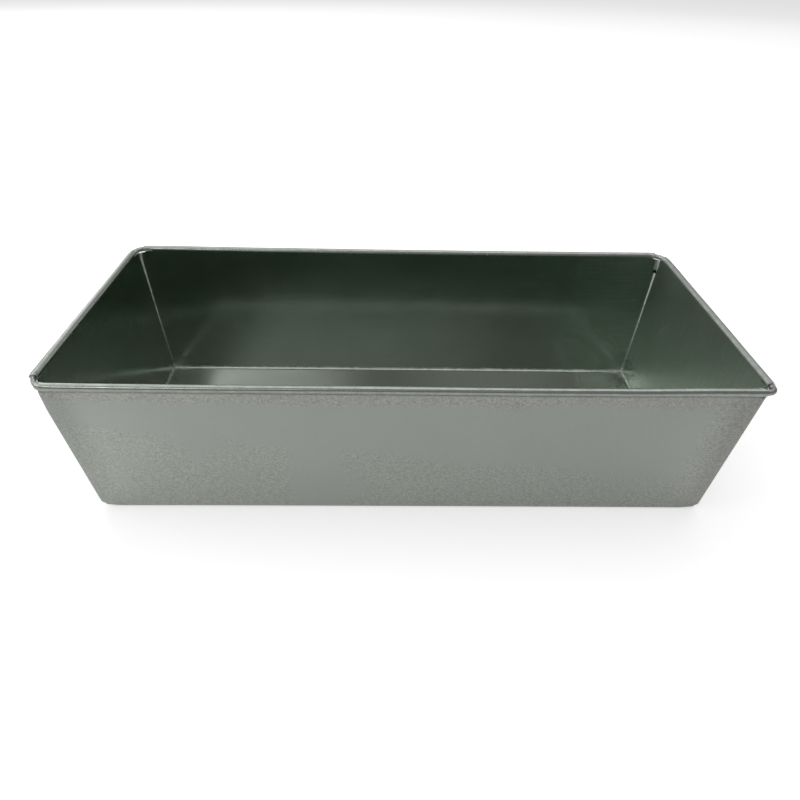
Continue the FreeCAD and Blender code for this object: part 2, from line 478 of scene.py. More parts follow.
class Field:
    # A value in a node tree. Arithmetic with it adds Math nodes.
    def __init__(self, socket):
        self.socket = socket
        self.tree = socket.id_data

    def output(self, label):
        # Another output of the node that this value comes from.
        return Field(self.socket.node.outputs[label])

    def math(self, operation, other=0.0):
        return addNode(self.tree, "ShaderNodeMath", {0: self, 1: other}, operation=operation)

    def __add__(self, other):
        return self.math("ADD", other)

    def __sub__(self, other):
        return self.math("SUBTRACT", other)

    def __mul__(self, other):
        return self.math("MULTIPLY", other)

    def __truediv__(self, other):
        return self.math("DIVIDE", other)

    def __pow__(self, other):
        return self.math("POWER", other)

    def __abs__(self):
        return self.math("ABSOLUTE")

    def __rsub__(self, other):
        return addNode(self.tree, "ShaderNodeMath", {0: other, 1: self}, operation="SUBTRACT")

    def __rtruediv__(self, other):
        return addNode(self.tree, "ShaderNodeMath", {0: other, 1: self}, operation="DIVIDE")


def feed(value, socket):
    # Links a value to an input, or sets a constant there.
    if isinstance(value, Field):
        socket.id_data.links.new(value.socket, socket)
    elif socket.type == "RGBA":
        socket.default_value = (*value, 1)
    else:
        socket.default_value = value


def addNode(tree, kind, inputs=None, **settings):
    # Adds a node with its properties and inputs set, and gives its first output.
    node = tree.nodes.new(kind)
    for label, value in settings.items():
        setattr(node, label, value)
    for key, value in (inputs or {}).items():
        feed(value, node.inputs[key])
    return Field(node.outputs[0])


def axesOf(place):
    first = addNode(place.tree, "ShaderNodeSeparateXYZ", {0: place})
    return first, first.output(1), first.output(2)


def vectorOf(tree, x=0.0, y=0.0, z=0.0):
    return addNode(tree, "ShaderNodeCombineXYZ", {0: x, 1: y, 2: z})


def vectorMath(operation, a, b=(0, 0, 0)):
    return addNode(a.tree, "ShaderNodeVectorMath", {0: a, 1: b}, operation=operation)


def scaled(vector, size):
    return addNode(vector.tree, "ShaderNodeVectorMath", {0: vector, "Scale": size}, operation="SCALE")


def noiseAt(place, scale, detail, seed, roughness=0.5):
    return addNode(place.tree, "ShaderNodeTexNoise", {
        "Vector": place, "W": seed, "Scale": scale, "Detail": detail, "Roughness": roughness},
        noise_dimensions="4D")


def ramp(value, low, high, toLow=0.0, toHigh=1.0):
    # A number carried from one range to another, held at its ends.
    return addNode(value.tree, "ShaderNodeMapRange", {
        "Value": value, "From Min": low, "From Max": high, "To Min": toLow, "To Max": toHigh})


def newGroup(kind, name, inputs, outputs):
    # A node group of a kind. An input is its default number, or the word for another kind of socket.
    tree = bpy.data.node_groups.new(name, kind + "NodeTree")
    for label, word in outputs.items():
        tree.interface.new_socket(label, in_out="OUTPUT", socket_type="NodeSocket" + word)
    for label, given in inputs.items():
        word = {float: "Float", int: "Int"}.get(type(given), given)
        socket = tree.interface.new_socket(label, in_out="INPUT", socket_type="NodeSocket" + word)
        if word != given:
            socket.default_value = given
    source = tree.nodes.new("NodeGroupInput").outputs
    target = tree.nodes.new("NodeGroupOutput").inputs
    return tree, {label: Field(source[label]) for label in inputs}, target


def dressed(mesh, offset, metal, target):
    # The end of a geometry tree: points moved by an offset, and a material.
    moved = addNode(mesh.tree, "GeometryNodeSetPosition", {"Geometry": mesh, "Offset": offset})
    plain = addNode(mesh.tree, "GeometryNodeRealizeInstances", {"Geometry": moved})
    last = addNode(mesh.tree, "GeometryNodeSetMaterial", {"Geometry": plain, "Material": metal})
    feed(last, target["Geometry"])


def rolledEdgeTree():
    # Sweeps a sheet's rolled edge along a line on X. Outward is -Y, and the line is the wire's centre.
    tree, values, target = newGroup("Geometry", "rolledEdge", {
        "Geometry": "Geometry",
        "Roll Radius": rollMiddle,
        "Start Angle": pi + lean,
        "Turn": roll["turn"],
        "Steps": roll["steps"],
        "Start": 0.0,
        "End": 1.0,
        "Free Length": roll["slit"],
        "End Slant": 0.0,
        "Lip Cut": roll["lipCut"],
        "Lip From": roll["lipFrom"],
        "Flare": roll["flare"],
        "Dent Depth": roll["dentDepth"],
        "Dent Size": roll["dentSize"],
        "Seed": roll["seed"],
        "Metal": "Material",
    }, {"Geometry": "Geometry"})
    radius, start, end, free = (values[label] for label in ("Roll Radius", "Start", "End", "Free Length"))
    path = addNode(tree, "GeometryNodeMeshToCurve", {"Mesh": values["Geometry"]})
    profile = addNode(tree, "GeometryNodeCurveArc", {
        "Resolution": values["Steps"] + 1.0, "Radius": radius,
        "Start Angle": values["Start Angle"], "Sweep Angle": values["Turn"]}, mode="RADIUS")
    around = addNode(tree, "GeometryNodeSplineParameter")
    kept = addNode(tree, "GeometryNodeStoreNamedAttribute", {
        "Geometry": profile, "Name": "aroundRoll", "Value": around}, data_type="FLOAT", domain="POINT")
    swept = addNode(tree, "GeometryNodeCurveToMesh", {"Curve": path, "Profile Curve": kept})
    position = addNode(tree, "GeometryNodeInputPosition")
    x, y, z = axesOf(position)
    share = addNode(tree, "GeometryNodeInputNamedAttribute", {"Name": "aroundRoll"}, data_type="FLOAT")

    # Each end is cut on a slant: the outer side of the roll reaches further than the inner side.
    outward = y * -1.0 / radius
    ends = ramp(x, end - free, end) - ramp(x, start, start + free, 1.0, 0.0)
    cut = ramp(share, values["Lip From"], 1.0) * values["Lip Cut"]
    slide = (outward * values["End Slant"] - cut) * ends

    # Mallet marks press the roll in and out a little, more towards its free lip.
    place = vectorMath("MULTIPLY", position, (1.0, 3.0, 3.0))
    dents = noiseAt(place, 1.0 / values["Dent Size"], 1.0, values["Seed"])
    depth = (dents - 0.5) * values["Dent Depth"] * 4.0 * share

    # The mouths stand open on the cavity's side.
    inward = (outward * -1.0).math("MAXIMUM", 0.0)
    depth = abs(ends) ** 3.0 * inward ** 2.0 * values["Flare"] + depth
    outwards = vectorMath("NORMALIZE", vectorOf(tree, 0.0, y, z))
    dressed(swept, vectorMath("ADD", scaled(outwards, depth), vectorOf(tree, slide)), values["Metal"], target)
    return tree


def rimWireTree():
    # Bends a wire along a line, with each corner rounded by the line's own "bend" there.
    tree, values, target = newGroup("Geometry", "rimWire", {
        "Geometry": "Geometry",
        "Wire Diameter": wireShape["diameter"],
        "Corner Steps": wireShape["cornerSteps"],
        "Sides": wireShape["sides"],
        "Draw Marks": wireShape["drawMarks"],
        "Marks Per Metre": wireShape["drawMarksPerMetre"],
        "Seed": wireShape["seed"],
        "Metal": "Material",
    }, {"Geometry": "Geometry"})
    path = addNode(tree, "GeometryNodeMeshToCurve", {"Mesh": values["Geometry"]})
    bend = addNode(tree, "GeometryNodeInputNamedAttribute", {"Name": "bend"}, data_type="FLOAT")
    rounded = addNode(tree, "GeometryNodeFilletCurve", {
        "Curve": path, "Radius": bend, "Count": values["Corner Steps"], "Limit Radius": True}, mode="POLY")
    section = addNode(tree, "GeometryNodeCurvePrimitiveCircle", {
        "Resolution": values["Sides"], "Radius": values["Wire Diameter"] / 2.0}, mode="RADIUS")
    swept = addNode(tree, "GeometryNodeCurveToMesh", {
        "Curve": rounded, "Profile Curve": section, "Fill Caps": True})
    position = addNode(tree, "GeometryNodeInputPosition")
    marks = noiseAt(position, values["Marks Per Metre"], 2.0, values["Seed"])
    normal = addNode(tree, "GeometryNodeInputNormal")
    dressed(swept, scaled(normal, (marks - 0.6) * values["Draw Marks"]), values["Metal"], target)
    return tree


def linked(name, data):
    thing = bpy.data.objects.new(name, data)
    bpy.context.scene.collection.objects.link(thing)
    return thing


def storeOnPoints(mesh, name, kind, values):
    key = "value" if kind == "FLOAT" else "vector"
    mesh.attributes.new(name, kind, "POINT").data.foreach_set(key, values)


def meshOf(carrier, name):
    # The plain mesh that a carrier's modifier makes. The carrier goes.
    result = bpy.data.meshes.new_from_object(carrier.evaluated_get(bpy.context.evaluated_depsgraph_get()))
    bpy.data.objects.remove(carrier)
    result.name = name
    return result


def grown(tree, points, name, values, bends=None):
    # The plain mesh that a geometry tree makes of a line through the points.
    lineMesh = bpy.data.meshes.new(name + "Line")
    lineMesh.from_pydata(points, [(i, i + 1) for i in range(len(points) - 1)], [])
    if bends:
        storeOnPoints(lineMesh, "bend", "FLOAT", bends)
    carrier = linked(name + "Line", lineMesh)
    modifier = carrier.modifiers.new("shape", "NODES")
    modifier.node_group = tree
    named = {item.name: item.identifier for item in tree.interface.items_tree if item.in_out == "INPUT"}
    for label, value in values.items():
        modifier[named[label]] = value
    carrier.update_tag()
    return meshOf(carrier, name)


# Departures from true that a hand-folded pan has. The same field bends the sheet and the wire.
# A side's rim is how far it stands from its true place, in millimetres, at a few shares of its
# length, and its foot is the same for the foot of its wall, in metres. A zone has a start and a width.
hand = {
    "rim": {
        "front": ((-1.0, -1.25), (-0.78, -1.05), (-0.5, -0.9), (-0.02, -0.84), (0.4, -0.72), (0.6, -0.8),
                  (0.88, -1.5), (1.0, -1.7)),
        "back": ((-1.0, -0.12), (-0.92, -0.14), (-0.7, -0.55), (-0.46, -0.86), (0.0, -1.02), (0.46, -0.95),
                 (0.7, -0.7), (0.92, -0.2), (1.0, -0.14)),
        "left": ((-1.0, -0.05), (-0.4, -0.1), (0.2, -0.18), (0.75, -0.1), (1.0, -0.1)),
        "right": ((-1.0, -0.5), (-0.3, -0.38), (0.2, -0.22), (0.8, -0.08), (1.0, -0.1)),
    },
    "foot": {"front": -0.6 * mm, "back": -0.9 * mm, "left": -0.66 * mm, "right": -0.06 * mm},
    "crown": 0.3 * mm,  # the floor's middle is raised
    "cornerLift": (0.8 * mm, 0.2 * mm),  # the floor's corners are too, at the front and the back
    "cornerReach": 8.5 * mm,
    "cornerHeight": 6 * mm,
    "wallWave": 0.22 * mm,
    "wallWaveSize": 70 * mm,
    "wallWaveSeed": Vector((3.1, 7.7, 1.3)),
    "wallZones": ((0, 20 * mm), (-77.7 * mm, 14 * mm)),  # going up from the foot, and down from the rim
    "rimWave": 0.06 * mm,
    "rimWaveSize": 35 * mm,
    "rimWaveSeed": Vector((11.3, 2.9, 5.1)),
    "rimDrop": 0.07 * mm,
    "rimZone": (60 * mm, 12 * mm),
    "topZone": (72 * mm, 3 * mm),
    "pinch": 0.9 * mm,  # the front left corner of the rim is pressed in along X
    "pinchZones": ((135 * mm, 12 * mm), (60.3 * mm, 5.2 * mm)),
    "tuck": 0.42,  # and knocked in along Y, this much for each step towards the corner
    "tuckFrom": 145.6 * mm,
    "tuckZone": (60.5 * mm, 4 * mm),
    "round": (0.9 * mm, 0.8 * mm),  # how far the back corners of the rim are drawn in, along X and Y
    "roundZones": ((142 * mm, 9 * mm), (57 * mm, 10 * mm)),
    "seed": 2,
}
noise.seed_set(hand["seed"])  # without it the waves differ from run to run


def onLine(marks, share):
    # The value at a share of a line of (share, value) marks in millimetres, eased between them.
    share = min(max(share, marks[0][0]), marks[-1][0])
    for (a, low), (b, high) in zip(marks, marks[1:]):
        if share <= b:
            return (low + (high - low) * smooth((share - a) / (b - a))) * mm


def inZone(value, zone):
    start, width = zone
    return smooth((value - start) / width)


def handShape(p):
    up = p.z / wireZ
    s = min(max(p.x / (baseX + p.z * tan(lean)), -1), 1)
    t = min(max(p.y / (baseY + p.z * tan(lean)), -1), 1)
    off = {}
    for side, foot in hand["foot"].items():
        rim = onLine(hand["rim"][side], s if side in ("front", "back") else t)
        off[side] = foot + (rim - foot) * up
    move = Vector((
        off["right"] * (1 + s) / 2 - off["left"] * (1 - s) / 2,
        off["back"] * (1 + t) / 2 - off["front"] * (1 - t) / 2,
        hand["crown"] * (1 - s * s) * (1 - up)))
    gap = Vector((abs(p.x) - baseX, abs(p.y) - baseY)).length
    lift = hand["cornerLift"][0] if p.y < 0 else hand["cornerLift"][1]
    move.z += lift * smooth(1 - gap / hand["cornerReach"]) * smooth(1 - p.z / hand["cornerHeight"])

    # The walls wave most in their middles, and the rim a little all round.
    rising, falling = hand["wallZones"]
    body = inZone(p.z, rising) * inZone(-p.z, falling) * hand["wallWave"]
    wave = noise.noise_vector(p / hand["wallWaveSize"] + hand["wallWaveSeed"])
    if abs(s) > abs(t):
        move.x += wave.x * body * smooth((1 - t * t) * 3)
    else:
        move.y += wave.y * body * smooth((1 - s * s) * 6)
    rim = noise.noise_vector(p / hand["rimWaveSize"] + hand["rimWaveSeed"])
    high = inZone(p.z, hand["rimZone"])
    move.y += rim.y * high * hand["rimWave"]
    move.x += rim.x * high * hand["rimWave"]
    move.z += (rim.z * hand["rimWave"] - hand["rimDrop"]) * high

    # The rim's corners.
    zoneX, zoneY = hand["pinchZones"]
    move.x += hand["pinch"] * inZone(-p.y, zoneY) * high * inZone(-p.x, zoneX)
    top = inZone(p.z, hand["topZone"])
    move.y += hand["tuck"] * max(-p.x - hand["tuckFrom"], 0) * inZone(-p.y, hand["tuckZone"]) * top
    if p.y > 0:
        zoneX, zoneY = hand["roundZones"]
        move.x -= hand["round"][0] * inZone(p.y, zoneY) * top * max(min(p.x / zoneX[0], 1), -1)
        move.y -= hand["round"][1] * inZone(abs(p.x), zoneX) * top
    return p + move


def shapeByHand(mesh):
    for vert in mesh.vertices:
        vert.co = handShape(vert.co)


def turned(side):
    # From the line on X with outward -Y to a side's own place.
    out, reach = sides[side]
    quarter = {"front": 0, "right": pi / 2, "back": pi, "left": -pi / 2}[side]
    return Matrix.Translation(out * reach + Vector((0, 0, wireZ))) @ Matrix.Rotation(quarter, 4, "Z")


def markRoll(mesh, side):
    # The blank's places and grain on a roll that still lies along X.
    out = sides[side][0]
    half = baseX if side in ("left", "right") else baseY
    wall = bendRadius * (pi / 2 - lean) + (seamZ - bendTop) / cos(lean)
    places, grains = [], []
    for vert, around in zip(mesh.vertices, mesh.attributes["aroundRoll"].data):
        length = wall + rollMiddle * roll["turn"] * around.value
        places.extend(along(side) * vert.co.x + out * (half + length))
        across = (turned(side).to_3x3() @ Vector((0, -vert.co.z, vert.co.y))).normalized()
        grains.extend(across if half == baseX else Vector((1, 0, 0)))
    storeOnPoints(mesh, "blank", "FLOAT_VECTOR", places)
    storeOnPoints(mesh, "grain", "FLOAT_VECTOR", grains)
    storeOnPoints(mesh, "wearAndPaintedLight", "FLOAT", [wearAndPaintedLightBy["roll"]] * len(mesh.vertices))


def makeSheet(metals):
    mesh = bmesh.new()
    rings, owners = buildWalls(mesh)
    buildFloor(mesh, rings[0], owners)
    seams = buildSeam(mesh, rings[-1], owners)
    tree = rolledEdgeTree()
    for side in sideNames:
        start, end = roll["spans"][side]
        free = roll["freeColumns"]
        places = [start + d for d in free] + seams[side] + [end - d for d in reversed(free)]
        swept = grown(tree, [(x, 0, 0) for x in places], side + "Roll", {
            "Start": start, "End": end, "End Slant": roll["slants"][side]})
        markRoll(swept, side)
        swept.transform(turned(side))
        mesh.from_mesh(swept)
        bpy.data.meshes.remove(swept)
    bmesh.ops.remove_doubles(mesh, verts=mesh.verts, dist=0.005 * mm)
    bmesh.ops.recalc_face_normals(mesh, faces=mesh.faces)
    mesh.faces.ensure_lookup_table()
    lowest = min(mesh.faces, key=lambda f: f.calc_center_median().length)
    if lowest.normal.z > 0:
        bmesh.ops.reverse_faces(mesh, faces=mesh.faces)
    flatMesh = bpy.data.meshes.new("sheetMiddle")
    mesh.to_mesh(flatMesh)
    mesh.free()
    flatMesh.shade_smooth()
    shapeByHand(flatMesh)
    carrier = linked("sheetMiddle", flatMesh)
    for metal in metals:
        flatMesh.materials.append(metal)
    thick = carrier.modifiers.new("thickness", "SOLIDIFY")
    thick.thickness = sheet
    thick.offset = 0
    thick.use_even_offset = True
    thick.use_quality_normals = True
    thick.material_offset = 1
    thick.material_offset_rim = 2
    solid = meshOf(carrier, "panSheet")
    solid.set_sharp_from_angle(angle=sharpAngle)
    return linked("panSheet", solid)


def subdivided(mesh):
    # Cuts the wire's long straight faces so that it can bend with the rim.
    work = bmesh.new()
    work.from_mesh(mesh)
    for normal, reach in zip((Vector((1, 0, 0)), Vector((0, 1, 0))), wireShape["cutsTo"]):
        for place in range(-reach, reach + 1, wireShape["cuts"]):
            geometry = work.verts[:] + work.edges[:] + work.faces[:]
            bmesh.ops.bisect_plane(work, geom=geometry, plane_co=normal * place * mm, plane_no=normal)
    work.to_mesh(mesh)
    work.free()
    return mesh


def makeWire(metal):
    gap = wireShape["buttGap"] / 2
    turns = [(gap, wireY), (wireX, wireY), (wireX, -wireY), (-wireX, -wireY), (-wireX, wireY), (-gap, wireY)]
    points = [(x, y, wireZ) for x, y in turns]
    bends = [0, *wireShape["bends"].values(), 0]
    mesh = subdivided(grown(rimWireTree(), points, "rimWire", {"Metal": metal}, bends))
    shapeByHand(mesh)
    mesh.shade_smooth()
    mesh.set_sharp_from_angle(angle=sharpAngle)
    return linked("rimWire", mesh)


def rollingGrainGroup():
    # Fine streaks along the blank's X, as the mill's rolls leave them.
    tree, source, target = newGroup("Shader", "rollingGrain", {
        "Place": "Vector", "Streak Length": 0.05, "Streak Width": 0.0005, "Seed": 0.0},
        {"Streaks": "Float"})
    stretch = vectorOf(tree, 1.0 / source["Streak Length"], 1.0 / source["Streak Width"])
    place = vectorMath("MULTIPLY", source["Place"], stretch)
    feed(ramp(noiseAt(place, 1.0, 4.0, source["Seed"], 0.65), 0.36, 0.64), target["Streaks"])
    return tree


def mottleGroup():
    # Cloudy patches a few centimetres wide, and a fine speckle over them.
    tree, source, target = newGroup("Shader", "mottle", {
        "Place": "Vector", "Cloud Size": 0.03, "Speckle Size": 0.0009, "Seed": 0.0},
        {"Clouds": "Float", "Speckle": "Float"})
    clouds = noiseAt(source["Place"], 1.0 / source["Cloud Size"], 3.0, source["Seed"], 0.6)
    speckle = noiseAt(source["Place"], 1.0 / source["Speckle Size"], 2.0, source["Seed"], 0.7)
    feed(ramp(clouds, 0.25, 0.75), target["Clouds"])
    feed(ramp(speckle, 0.38, 0.62), target["Speckle"])
    return tree


def scratchesGroup():
    # Long thin wandering lines in one direction, broken up by a wider noise.
    tree, source, target = newGroup("Shader", "scratches", {
        "Place": "Vector", "Direction": 0.0, "Length": 0.06, "Spacing": 0.004, "Width": 0.02, "Seed": 0.0},
        {"Lines": "Float"})
    place = addNode(tree, "ShaderNodeVectorRotate", {
        "Vector": source["Place"], "Angle": source["Direction"]}, rotation_type="Z_AXIS")
    place = vectorMath("MULTIPLY", place, vectorOf(tree, 1.0 / source["Length"], 1.0 / source["Spacing"]))
    away = abs(noiseAt(place, 1.0, 1.0, source["Seed"]) - 0.5)
    broken = ramp(noiseAt(source["Place"], 60.0, 2.0, source["Seed"]), 0.5, 0.62)
    feed((1.0 - ramp(away, 0.0, source["Width"])) * broken, target["Lines"])
    return tree


def cornerCreaseGroup():
    # Low ridges that fan out over floor and walls from the foot of each folded corner.
    tree, source, target = newGroup("Shader", "cornerCreases", {
        "Place": "Vector", "Corner X": 0.1, "Corner Y": 0.1, "Reach": 0.02, "Ridges": 3.0, "Seed": 0.0},
        {"Height": "Float"})
    placeX, placeY = axesOf(source["Place"])[:2]
    x = abs(placeX) - source["Corner X"]
    y = abs(placeY) - source["Corner Y"]
    apart = (x * x + y * y).math("SQRT")
    quarter = placeX.math("SIGN") + placeY.math("SIGN") * 3.0
    fan = vectorOf(tree, y.math("ARCTAN2", x) * source["Ridges"], quarter, apart * 20.0)
    share = (1.0 - apart / source["Reach"]).math("MAXIMUM", 0.0)
    feed(noiseAt(fan, 1.0, 1.0, source["Seed"]) * (share * share * apart), target["Height"])
    return tree


def edgeWearAndPaintedLightGroup():
    # Worn metal and painted light, uneven along its length: rubbed bright with a painted highlight where the
    # input is over 0, scuffed dull under it, which far under 0 also carries the nick's painted shade.
    tree, source, target = newGroup("Shader", "edgeRub", {
        "Place": "Vector", "Worn": 0.0, "Seed": 0.0}, {"Rub": "Float", "ScuffAndShade": "Float"})
    uneven = ramp(noiseAt(source["Place"], 220.0, 3.0, source["Seed"]), 0.35, 0.65, 0.35, 1.0)
    wearAndPaintedMarks = source["Worn"] * uneven
    feed(wearAndPaintedMarks.math("MAXIMUM", 0.0), target["Rub"])
    feed((wearAndPaintedMarks * -1.0).math("MAXIMUM", 0.0), target["ScuffAndShade"])
    return tree


def wallHeightGroup():
    # How far up the blank's nearest wall a place is, less than 0 on the floor.
    tree, source, target = newGroup("Shader", "wallHeight", {
        "Place": "Vector", "Half Length": 0.1, "Half Width": 0.1}, {"Height": "Float"})
    x, y = axesOf(source["Place"])[:2]
    upLong = abs(y) - source["Half Width"]
    feed((abs(x) - source["Half Length"]).math("MAXIMUM", upLong), target["Height"])
    return tree


def wipedBandGroup():
    # A wandering band between two heights, one wipe mark down from it, and loose patches below it.
    tree, source, target = newGroup("Shader", "wipedBand", {
        "Place": "Vector", "Height": 0.0, "Low": 0.04, "High": 0.07, "Tilt": 0.0, "Wander": 0.01,
        "Middle": 0.0, "End": 1.0, "Mark": 0.0, "Mark Half": 0.01, "Clouds": 0.5},
        {"Share": "Float", "Above": "Float"})
    x = axesOf(source["Place"])[0]
    height, high, half = source["Height"], source["High"], source["Mark Half"]
    wander = (noiseAt(source["Place"], 22.0, 4.0, 1.0) - 0.5) * source["Wander"]
    low = x * source["Tilt"] + source["Low"]
    rise = ramp(height + wander, low - 0.004, low)
    above = ramp(wander * 0.9 + height, high, high + 0.003)
    beyond = abs(x - source["Middle"]) - source["End"]
    inner = ramp(beyond + wander, 0.0, 0.005, 1.0, 0.0)
    mark = ramp(abs(x - source["Mark"]) + wander, half, half + 0.004, 1.0, 0.0)
    patch = ramp(source["Clouds"], 0.66, 0.84)
    wiped = (rise * inner).math("MAXIMUM", mark).math("MAXIMUM", patch)
    feed(wiped * (1.0 - above), target["Share"])
    feed(above, target["Above"])
    return tree


rollingGrain = rollingGrainGroup()
mottle = mottleGroup()
scratches = scratchesGroup()
cornerCreases = cornerCreaseGroup()
edgeRub = edgeWearAndPaintedLightGroup()
wallHeight = wallHeightGroup()
wipedBand = wipedBandGroup()


def effect(group, place, **inputs):
    # One use of a shared group at a place, with its inputs given by their names without spaces.
    node = place.tree.nodes.new("ShaderNodeGroup")
    node.node_tree = group
    inputs["Place"] = place
    for socket in node.inputs:
        feed(inputs.get(socket.name.replace(" ", ""), socket.default_value), socket)
    return {socket.name: Field(socket) for socket in node.outputs}


def attribute(tree, name, output):
    return addNode(tree, "ShaderNodeAttribute", attribute_name=name).output(output)


def mixed(share, a, b):
    return addNode(share.tree, "ShaderNodeMix", {0: share, 6: a, 7: b}, data_type="RGBA").output(2)


def bumped(height, distance, **more):
    return addNode(height.tree, "ShaderNodeBump", {
        "Height": height, "Distance": distance, "Strength": 1.0, **more})


def metalShader(name, colour, roughness, **more):
    # A material with a metal Principled shader, its node tree and the shader's inputs.
    metal = bpy.data.materials.new(name)
    metal.use_nodes = True
    shader = metal.node_tree.nodes["Principled BSDF"].inputs
    for label, value in {"Metallic": 1, "Base Color": colour, "Roughness": roughness, **more}.items():
        feed(value, shader[label])
    return metal, metal.node_tree, shader


outsideFinish = {
    "speckDark": (0.355, 0.385, 0.345),  # the oxidised speckle low on the walls
    "speckPale": (0.655, 0.68, 0.63),
    "warmDark": (0.365, 0.362, 0.338),  # the same under the rim
    "warmPale": (0.645, 0.635, 0.597),
    "warmth": 0.5,
    "warmFrom": 0.130,  # the warm tone runs down the right corner, beyond this X
    "wiped": (0.505, 0.535, 0.50),  # rubbed smooth between the two
    "wipedShare": 0.88,
    "rubbed": (0.62, 0.635, 0.61),
    "roughness": (0.36, 0.46),
    "mottle": {"CloudSize": 0.030, "SpeckleSize": 0.00062},
    "streaks": {"StreakLength": 0.0022, "StreakWidth": 0.0006},
    "streakShare": 0.4,
    # The wiped band's lower and upper edge up the wall, and how the lower edge climbs along X. It
    # stops short of the corners, more so on the right, and one wipe runs down to the floor.
    "band": {"Low": 0.0385, "High": 0.0655, "Tilt": -0.12, "Wander": 0.016, "Middle": -0.006,
             "End": 0.131, "Mark": -0.040, "MarkHalf": 0.010},
    "fade": (0.945, 0.83),  # painted light: brightness at the left and right ends
    "rise": (1.15, 0.90),  # and at the foot and the rim, also painted light
    "riseTo": 0.072,
    "edgeFrom": 0.132,  # darker strips beside the corners, beyond this X
    "edge": 0.86,
    "grimeFrom": 0.0718,  # painted shade in the crevice under the roll, above this height
    "grime": 0.3,
    "bump": 0.008 * mm,
    "seed": 5.0,
}


def outsideMaterial():
    look = outsideFinish
    metal, tree, shader = metalShader("sheetOutside", look["wiped"], 0.4)
    place = attribute(tree, "blank", "Vector")
    height = effect(wallHeight, place, HalfLength=baseX, HalfWidth=baseY)["Height"]
    patches = effect(mottle, place, Seed=look["seed"], **look["mottle"])
    streaks = effect(rollingGrain, place, Seed=look["seed"], **look["streaks"])["Streaks"]
    wiped = effect(wipedBand, place, Height=height, Clouds=patches["Clouds"], **look["band"])
    rubAndHighlight = effect(edgeRub, place, Worn=attribute(tree, "wearAndPaintedLight", "Fac"), Seed=look["seed"])["Rub"]
    fine = streaks * look["streakShare"] + patches["Speckle"] * (1 - look["streakShare"])
    cool = mixed(fine, look["speckDark"], look["speckPale"])
    warm = mixed(fine, look["warmDark"], look["warmPale"])
    x = axesOf(place)[0]
    warmSide = ramp(x, look["warmFrom"], look["warmFrom"] + 0.01)
    colour = mixed(wiped["Above"].math("MAXIMUM", warmSide) * look["warmth"], cool, warm)
    colour = mixed(wiped["Share"] * look["wipedShare"], colour, look["wiped"])
    # Painted highlight over rubbed wear where the sheet is folded and at the foot.
    colour = mixed(rubAndHighlight, colour, look["rubbed"])
    # Painted light: brighter to the left and at the foot, darker towards the rim.
    fade = ramp(x, -baseX, baseX, *look["fade"]) * ramp(height, 0.0, look["riseTo"], *look["rise"])
    edge = ramp(abs(x), look["edgeFrom"], look["edgeFrom"] + 0.01, 1.0, look["edge"])
    # Painted shade in the crevice under the roll.
    grime = ramp(height, look["grimeFrom"], look["grimeFrom"] + 0.001, 1.0, look["grime"])
    feed(scaled(colour, fade * edge * grime), shader["Base Color"])
    feed(ramp(patches["Clouds"], 0.0, 1.0, *look["roughness"]), shader["Roughness"])
    feed(bumped(fine * (1.0 - wiped["Share"]), look["bump"]), shader["Normal"])
    return metal


insideFinish = {
    "dull": (0.345, 0.402, 0.350),
    "pale": (0.515, 0.588, 0.522),
    "floor": (0.515, 0.500, 0.485),
    # the rubbed colour of scratches and hems, with a painted highlight on the hems, bends and foot
    "rubbed": (0.92, 0.94, 0.91),
    "scuffed": (0.355, 0.365, 0.345),
    # painted shade: near black in the nick of the flattened hem
    "nick": (0.04, 0.045, 0.04),
    "roughness": (0.14, 0.20),
    "rubRoughness": 0.12,
    "rubMetal": 0.1,
    "scuffRoughness": 0.13,
    "dullEnd": 0.20,  # the right end wall has weathered rougher
    "dullFrom": (3 * mm, 22 * mm),
    "dullUneven": (0.85, 1.15),
    "anisotropy": 0.3,
    "mottle": {"CloudSize": 0.05, "SpeckleSize": 0.0008},
    "streaks": {"StreakLength": 0.03, "StreakWidth": 0.0009},
    "scratches": {"Direction": 0.5, "Length": 0.05, "Spacing": 0.006, "Width": 0.012},
    "scratchShare": 0.15,
    "creases": {"Reach": 0.016, "Ridges": 9.0},
    "creaseBump": 0.16,
    "grainBump": 0.002 * mm,
    "crushBump": 0.4 * mm,  # dents in the crushed and bent metal
    "crushesPerMetre": 420.0,
    "seed": 9.0,
}


